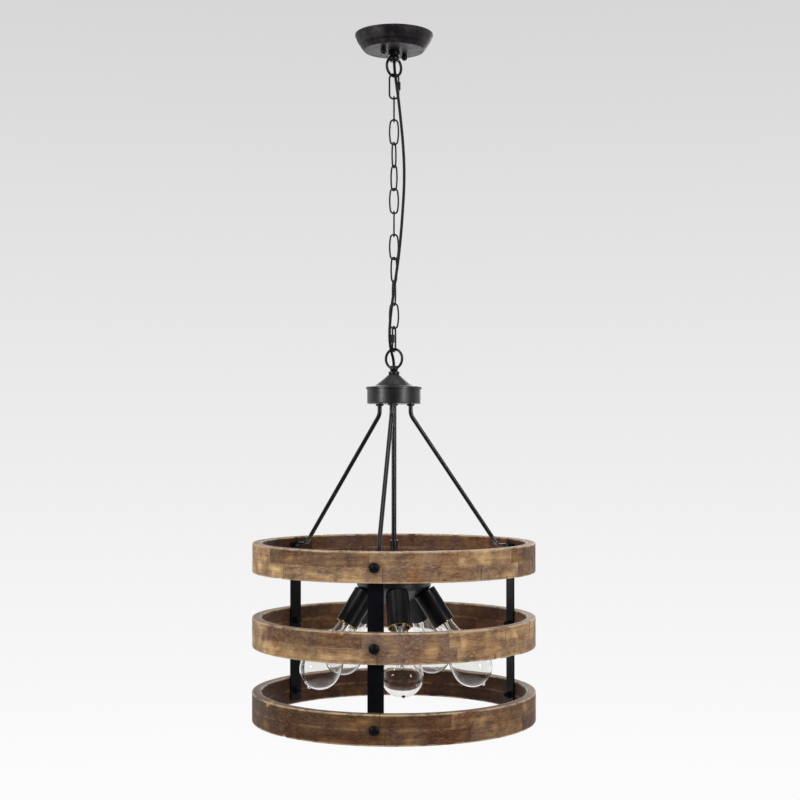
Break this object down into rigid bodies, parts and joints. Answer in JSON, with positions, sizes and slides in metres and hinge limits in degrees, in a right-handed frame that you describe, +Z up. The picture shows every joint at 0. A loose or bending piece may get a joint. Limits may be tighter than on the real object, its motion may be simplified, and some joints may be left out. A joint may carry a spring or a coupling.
{
  "type": "drum chandelier",
  "caption": "Open drum chandelier: wooden hoops on flat steel straps round angled clear lamps, hung by rods from a hub on a chain and ceiling canopy.",
  "frame": {"origin": "centre of the ceiling screw pattern on the crossbar, in the ceiling plane, on the lamp axis", "axes": "+Z up into the ceiling, +X to the viewer's right, -Y towards the viewer of the picture"},
  "size_m": [0.45, 0.4529, 1.0939],
  "materials": {
    "black_metal": "satin black paint on steel, a little textured",
    "black_iron": "flat black paint on bar and bolts",
    "socket_black": "satin bluish black lampholders",
    "wood": "weathered brown stain with tan patches, worn edges and dark knots",
    "brass": "bright brass lining and lamp caps",
    "clear_glass": "thin clear blown glass",
    "plated_steel": "zinc plated",
    "white_plastic": "moulded terminal block",
    "black_flex": "smooth black sheathed flex"
  },
  "bodies": {
    "ceiling_fitting": {"crossbar": "plated_steel", "crossbar_studs": "plated_steel", "canopy": "black_metal", "canopy_ball_nuts": "black_metal", "terminal_block": "white_plastic", "top_loop": "black_metal", "loop_nut": "plated_steel", "flex_cord": "black_flex"},
    "link_01": {"screw_link_top": "black_metal"},
    "link_02": {"chain_link_02": "black_metal"},
    "link_03": {"chain_link_03": "black_metal"},
    "link_04": {"chain_link_04": "black_metal"},
    "link_05": {"chain_link_05": "black_metal"},
    "link_06": {"chain_link_06": "black_metal"},
    "link_07": {"chain_link_07": "black_metal"},
    "link_08": {"chain_link_08": "black_metal"},
    "link_09": {"chain_link_09": "black_metal"},
    "link_10": {"chain_link_10": "black_metal"},
    "link_11": {"chain_link_11": "black_metal"},
    "link_12": {"screw_link_bottom": "black_metal"},
    "sleeve_top": {"screw_link_top_sleeve": "black_metal"},
    "sleeve_bottom": {"screw_link_bottom_sleeve": "black_metal"},
    "lamp": {"hub_loop": "black_metal", "hub_cap": "black_metal", "hub_cup": "black_metal", "hub_lock_nuts": "black_metal", "arm_rod_1": "black_metal", "arm_rod_2": "black_metal", "arm_rod_3": "black_metal", "stem_tube": "black_metal", "stem_coupler": "black_metal", "pan_nipple": "plated_steel", "pan_finial": "black_metal", "pan_cover": "black_metal", "socket_pan": "black_metal", "socket_bolts": "plated_steel", "socket_shells": "brass", "socket_cup_1": "socket_black", "socket_cup_2": "socket_black", "socket_cup_3": "socket_black", "socket_cup_4": "socket_black", "socket_cup_5": "socket_black", "upper_hoop": "wood", "middle_hoop": "wood", "lower_hoop": "wood", "strap_1": "black_iron", "strap_2": "black_iron", "strap_3": "black_iron", "hoop_bolts": "black_iron", "hoop_nuts": "black_iron"},
    "bulb_1": {"bulb_base_1": "brass", "bulb_glass_1": "clear_glass"},
    "bulb_2": {"bulb_base_2": "brass", "bulb_glass_2": "clear_glass"},
    "bulb_3": {"bulb_base_3": "brass", "bulb_glass_3": "clear_glass"},
    "bulb_4": {"bulb_base_4": "brass", "bulb_glass_4": "clear_glass"},
    "bulb_5": {"bulb_base_5": "brass", "bulb_glass_5": "clear_glass"}
  },
  "joints": [
    {"name": "chain_01_swing", "type": "hinge", "parent": "ceiling_fitting", "child": "link_01", "pos_m": [0, 0, -0.0674], "axis": [0.7431, 0.6691, 0], "range_deg": [-15, 15]},
    {"name": "chain_02_swing", "type": "hinge", "parent": "link_01", "child": "link_02", "pos_m": [0, 0, -0.10365], "axis": [-0.9781, 0.2079, 0], "range_deg": [-15, 15]},
    {"name": "chain_03_swing", "type": "hinge", "parent": "link_02", "child": "link_03", "pos_m": [0, 0, -0.1405], "axis": [0, 1, 0], "range_deg": [-15, 15]},
    {"name": "chain_04_swing", "type": "hinge", "parent": "link_03", "child": "link_04", "pos_m": [0, 0, -0.17745], "axis": [1, 0, 0], "range_deg": [-15, 15]},
    {"name": "chain_05_swing", "type": "hinge", "parent": "link_04", "child": "link_05", "pos_m": [0, 0, -0.2144], "axis": [0.4226, 0.9063, 0], "range_deg": [-15, 15]},
    {"name": "chain_06_swing", "type": "hinge", "parent": "link_05", "child": "link_06", "pos_m": [0, 0, -0.25135], "axis": [0.6691, -0.7431, 0], "range_deg": [-15, 15]},
    {"name": "chain_07_swing", "type": "hinge", "parent": "link_06", "child": "link_07", "pos_m": [0, 0, -0.2883], "axis": [-0.9781, -0.2079, 0], "range_deg": [-15, 15], "deforming": ["flex_cord"]},
    {"name": "chain_08_swing", "type": "hinge", "parent": "link_07", "child": "link_08", "pos_m": [0, 0, -0.32525], "axis": [0, 1, 0], "range_deg": [-15, 15]},
    {"name": "chain_09_swing", "type": "hinge", "parent": "link_08", "child": "link_09", "pos_m": [0, 0, -0.3622], "axis": [0.9848, -0.1736, 0], "range_deg": [-15, 15]},
    {"name": "chain_10_swing", "type": "hinge", "parent": "link_09", "child": "link_10", "pos_m": [0, 0, -0.39915], "axis": [-0.6428, -0.766, 0], "range_deg": [-15, 15]},
    {"name": "chain_11_swing", "type": "hinge", "parent": "link_10", "child": "link_11", "pos_m": [0, 0, -0.4361], "axis": [0.342, -0.9397, 0], "range_deg": [-15, 15]},
    {"name": "chain_12_swing", "type": "hinge", "parent": "link_11", "child": "link_12", "pos_m": [0, 0, -0.47305], "axis": [-1, 0, 0], "range_deg": [-15, 15]},
    {"name": "chain_13_swing", "type": "hinge", "parent": "link_12", "child": "lamp", "pos_m": [0, 0, -0.5101], "axis": [-0.309, -0.9511, 0], "range_deg": [-15, 15]},
    {"name": "screw_sleeve_bottom", "type": "slide", "parent": "link_12", "child": "sleeve_bottom", "axis": [0, 0, 1], "range_m": [0, 0.006]},
    {"name": "screw_sleeve_top", "type": "slide", "parent": "link_01", "child": "sleeve_top", "axis": [0, 0, 1], "range_m": [0, 0.006]},
    {"name": "unscrew_bulb_1", "type": "slide", "parent": "lamp", "child": "bulb_1", "axis": [0.0577, -0.5489, -0.8339], "range_m": [0, 0.03]},
    {"name": "unscrew_bulb_2", "type": "slide", "parent": "lamp", "child": "bulb_2", "axis": [0.5399, -0.1148, -0.8339], "range_m": [0, 0.03]},
    {"name": "unscrew_bulb_3", "type": "slide", "parent": "lamp", "child": "bulb_3", "axis": [0.276, 0.478, -0.8339], "range_m": [0, 0.03]},
    {"name": "unscrew_bulb_4", "type": "slide", "parent": "lamp", "child": "bulb_4", "axis": [-0.3693, 0.4102, -0.8339], "range_m": [0, 0.03]},
    {"name": "unscrew_bulb_5", "type": "slide", "parent": "lamp", "child": "bulb_5", "axis": [-0.5042, -0.2245, -0.8339], "range_m": [0, 0.03]}
  ]
}
